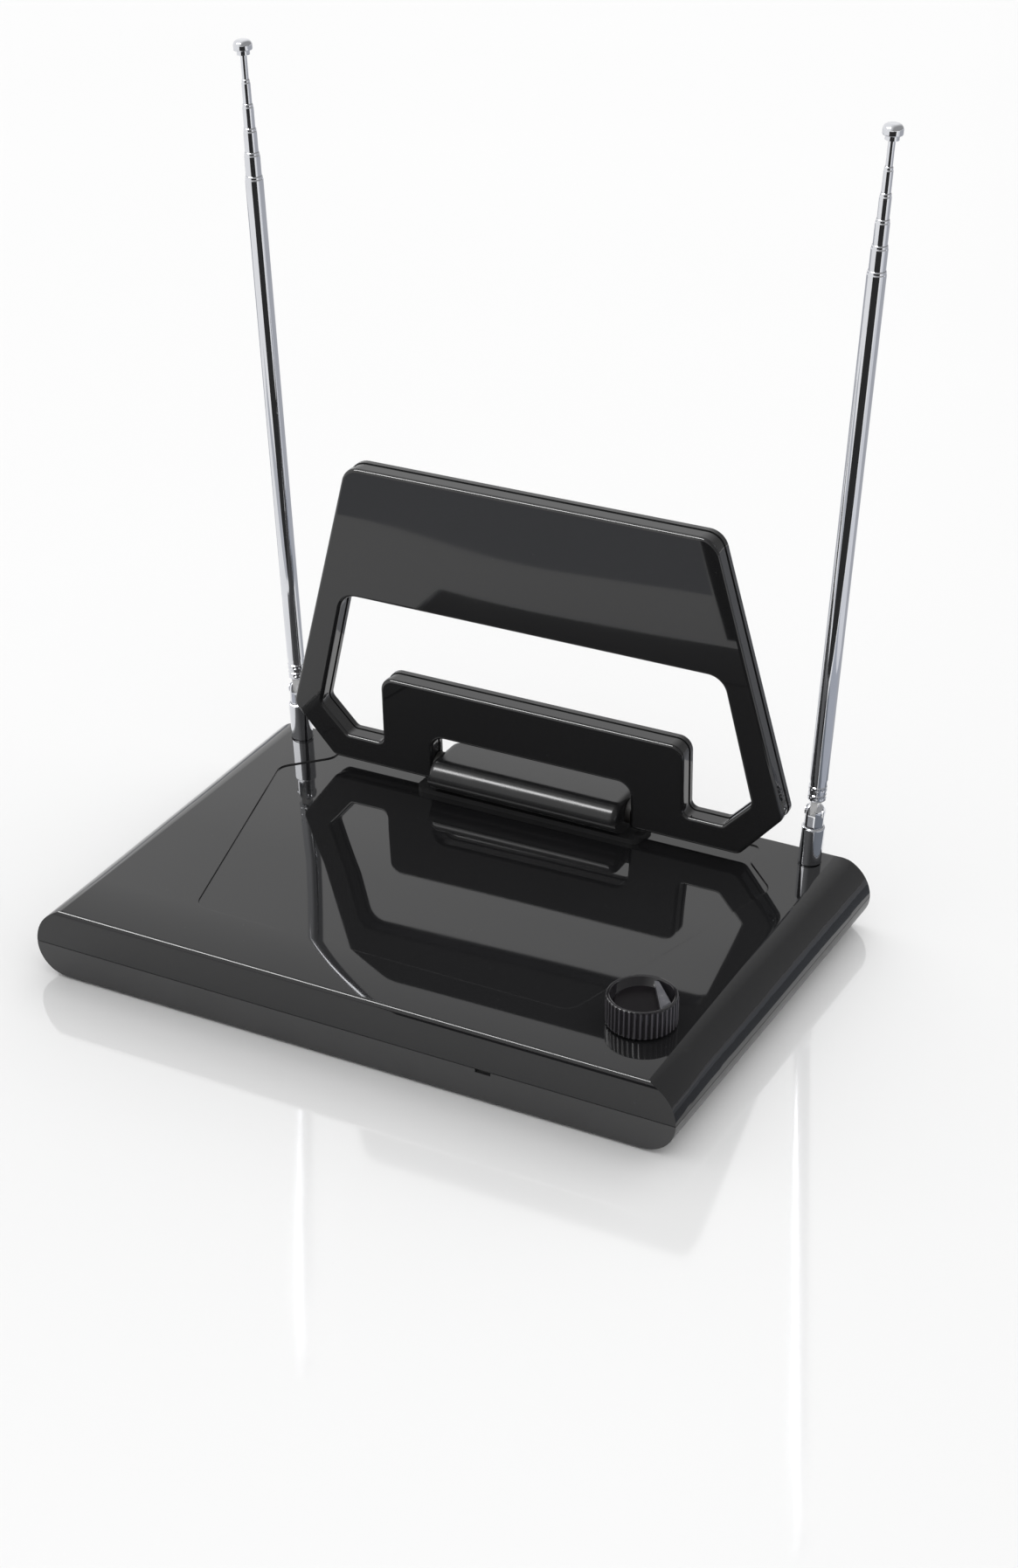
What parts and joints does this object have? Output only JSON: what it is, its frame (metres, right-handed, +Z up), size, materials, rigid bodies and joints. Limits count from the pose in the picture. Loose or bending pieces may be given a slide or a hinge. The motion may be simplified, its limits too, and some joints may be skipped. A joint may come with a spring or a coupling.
{
  "type": "tv antenna",
  "caption": "Table-top television antenna: low weighted base with a tuning knob, a hinged tilting loop panel, and telescopic rods on swivel knuckles at the rear corners.",
  "frame": {"origin": "on the table, under the middle of the base", "axes": "X right along the base's width, -Y towards the front, +Z up"},
  "size_m": [0.2418, 0.1554, 0.2822],
  "materials": {
    "gloss_black": "mirror gloss",
    "satin_black": "satin",
    "hinge_black": "gloss",
    "knob_black": "gloss",
    "rubber": "matte",
    "steel": "plain",
    "aluminium": "satin",
    "brass": "turned",
    "copper": "drawn wire",
    "board": "satin",
    "fibre": "matte",
    "chrome": "polished"
  },
  "bodies": {
    "base": {"base_bottom_cover": "satin_black", "base_top_cover": "gloss_black", "rubber_feet": "rubber", "base_screws": "steel", "ballast_plate": "steel", "circuit_board": "board", "tuning_control": "aluminium", "control_nut": "brass", "hinge_bracket": "hinge_black", "hinge_cap": "hinge_black", "hinge_pin": "steel", "hinge_washers": "fibre", "lead_grommet": "rubber", "left_collar": "chrome", "right_collar": "chrome"},
    "loop": {"loop_front_cover": "gloss_black", "loop_rear_cover": "gloss_black", "loop_conductor": "copper", "loop_screws": "steel"},
    "knob": {"tuning_knob": "knob_black", "control_shaft": "steel"},
    "left_knuckle": {"left_fork": "chrome", "left_swivel_nut": "brass", "left_rivet": "chrome"},
    "left_section_1": {"left_tang": "chrome", "left_tube_1": "chrome"},
    "left_section_2": {"left_tube_2": "chrome", "left_bush_2": "brass"},
    "left_section_3": {"left_tube_3": "chrome", "left_bush_3": "brass"},
    "left_section_4": {"left_tube_4": "chrome", "left_bush_4": "brass"},
    "left_section_5": {"left_tube_5": "chrome", "left_bush_5": "brass"},
    "left_section_6": {"left_tip_rod": "chrome", "left_tip_cap": "chrome"},
    "right_knuckle": {"right_fork": "chrome", "right_swivel_nut": "brass", "right_rivet": "chrome"},
    "right_section_1": {"right_tang": "chrome", "right_tube_1": "chrome"},
    "right_section_2": {"right_tube_2": "chrome", "right_bush_2": "brass"},
    "right_section_3": {"right_tube_3": "chrome", "right_bush_3": "brass"},
    "right_section_4": {"right_tube_4": "chrome", "right_bush_4": "brass"},
    "right_section_5": {"right_tube_5": "chrome", "right_bush_5": "brass"},
    "right_section_6": {"right_tip_rod": "chrome", "right_tip_cap": "chrome"}
  },
  "joints": [
    {"name": "loop_tilt", "type": "hinge", "parent": "base", "child": "loop", "pos_m": [0, 0.0604, 0.0333], "axis": [1, 0, 0], "range_deg": [-30, 87]},
    {"name": "knob_turn", "type": "hinge", "parent": "base", "child": "knob", "pos_m": [0.0923, -0.0487, 0.03], "axis": [0, 0, 1], "range_deg": [-150, 150]},
    {"name": "left_swivel", "type": "hinge", "parent": "base", "child": "left_knuckle", "pos_m": [-0.1013, 0.0687, 0.02545], "axis": [0.0497, 0, -0.9988], "range_deg": [0, 180]},
    {"name": "left_tilt", "type": "hinge", "parent": "left_knuckle", "child": "left_section_1", "pos_m": [-0.10229, 0.0687, 0.04543], "axis": [0.9988, 0, 0.0497], "range_deg": [0, 85]},
    {"name": "left_slide_2", "type": "slide", "parent": "left_section_1", "child": "left_section_2", "axis": [-0.0497, 0, 0.9988], "range_m": [0, 0.169]},
    {"name": "left_slide_3", "type": "slide", "parent": "left_section_2", "child": "left_section_3", "axis": [-0.0497, 0, 0.9988], "range_m": [0, 0.169]},
    {"name": "left_slide_4", "type": "slide", "parent": "left_section_3", "child": "left_section_4", "axis": [-0.0497, 0, 0.9988], "range_m": [0, 0.169]},
    {"name": "left_slide_5", "type": "slide", "parent": "left_section_4", "child": "left_section_5", "axis": [-0.0497, 0, 0.9988], "range_m": [0, 0.169]},
    {"name": "left_slide_6", "type": "slide", "parent": "left_section_5", "child": "left_section_6", "axis": [-0.0497, 0, 0.9988], "range_m": [0, 0.169]},
    {"name": "right_swivel", "type": "hinge", "parent": "base", "child": "right_knuckle", "pos_m": [0.1013, 0.0687, 0.02545], "axis": [0.0497, 0, 0.9988], "range_deg": [0, 180]},
    {"name": "right_tilt", "type": "hinge", "parent": "right_knuckle", "child": "right_section_1", "pos_m": [0.10229, 0.0687, 0.04543], "axis": [0.9988, 0, -0.0497], "range_deg": [0, 85]},
    {"name": "right_slide_2", "type": "slide", "parent": "right_section_1", "child": "right_section_2", "axis": [0.0497, 0, 0.9988], "range_m": [0, 0.169]},
    {"name": "right_slide_3", "type": "slide", "parent": "right_section_2", "child": "right_section_3", "axis": [0.0497, 0, 0.9988], "range_m": [0, 0.169]},
    {"name": "right_slide_4", "type": "slide", "parent": "right_section_3", "child": "right_section_4", "axis": [0.0497, 0, 0.9988], "range_m": [0, 0.169]},
    {"name": "right_slide_5", "type": "slide", "parent": "right_section_4", "child": "right_section_5", "axis": [0.0497, 0, 0.9988], "range_m": [0, 0.169]},
    {"name": "right_slide_6", "type": "slide", "parent": "right_section_5", "child": "right_section_6", "axis": [0.0497, 0, 0.9988], "range_m": [0, 0.169]}
  ]
}
